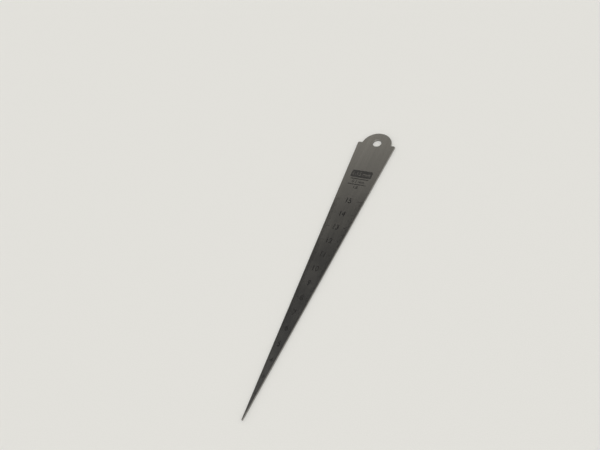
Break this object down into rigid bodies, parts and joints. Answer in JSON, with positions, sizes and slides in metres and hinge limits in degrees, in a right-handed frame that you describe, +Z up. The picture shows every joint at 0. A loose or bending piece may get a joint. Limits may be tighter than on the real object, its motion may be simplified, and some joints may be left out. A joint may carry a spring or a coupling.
{
  "type": "taper gauge",
  "caption": "Flat tapered steel gauge for reading gap and slot widths, with etched graduations on both edges, square shoulders and a round ear with a hanging hole.",
  "frame": {"origin": "centre of the gauge's outline on its back face, which is the face it lies on", "axes": "+Z up out of the marked face, +Y along the blade from the tip to the ear, +X across the width"},
  "size_m": [0.0196, 0.1604, 0.0009],
  "materials": {
    "steel": "satin, with a fine grain along the length"
  },
  "bodies": {
    "root": {"gauge_blade": "steel"}
  },
  "joints": []
}
